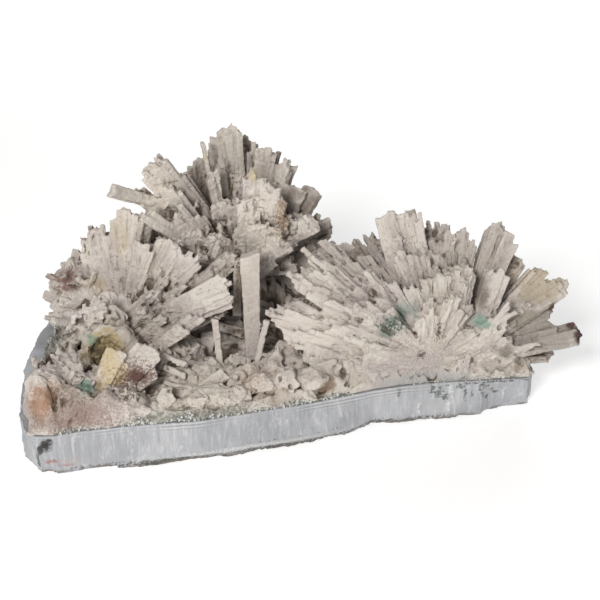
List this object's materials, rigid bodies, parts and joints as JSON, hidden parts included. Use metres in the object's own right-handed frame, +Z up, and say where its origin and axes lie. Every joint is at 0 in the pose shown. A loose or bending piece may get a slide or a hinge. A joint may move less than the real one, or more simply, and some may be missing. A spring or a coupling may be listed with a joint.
{
  "type": "quartz pseudomorph specimen",
  "caption": "Mineral specimen to stand on a shelf: sprays of white blade-shaped quartz crystals grown on a sawn, banded grey chalcedony slab.",
  "frame": {"origin": "a point near the middle of the slab's flat underside, in the plane the specimen rests on", "axes": "+Z up from the shelf, -Y out of the sawn front face, +X to the right as seen from the front"},
  "size_m": [0.3558, 0.2124, 0.1663],
  "materials": {
    "banded_chalcedony": "cool grey chalcedony, satin where it is sawn, fine pale bands under its top and fibres across it",
    "sugary_quartz": "matte cream-white quartz with a sugary grain, striated along the blades, stained rust, ochre and teal in places"
  },
  "bodies": {
    "root": {"chalcedony_slab": "banded_chalcedony", "crystals": "sugary_quartz"}
  },
  "joints": []
}
